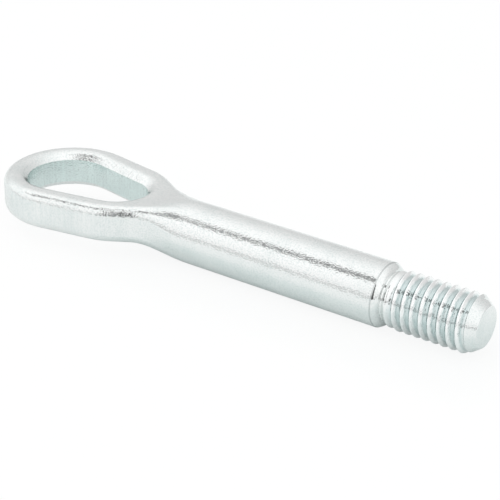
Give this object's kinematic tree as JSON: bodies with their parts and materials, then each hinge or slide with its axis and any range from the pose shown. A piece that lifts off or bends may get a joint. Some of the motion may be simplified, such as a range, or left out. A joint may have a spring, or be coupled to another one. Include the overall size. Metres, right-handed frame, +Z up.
{
  "type": "tow eye",
  "caption": "Forged screw-in tow eye: a flat teardrop loop on a round shank, with a shoulder, a neck groove and a threaded stud at the far end.",
  "frame": {"origin": "centre of the bounding box in X and Y, on the plane the shank lies on", "axes": "+X along the shank towards the threaded end, +Y across the eye, +Z up, square to the flat of the eye"},
  "size_m": [0.1748, 0.0438, 0.02],
  "materials": {
    "zinc_steel": "bright blue-white zinc plating over a forged surface"
  },
  "bodies": {
    "root": {"tow_eye": "zinc_steel"}
  },
  "joints": []
}
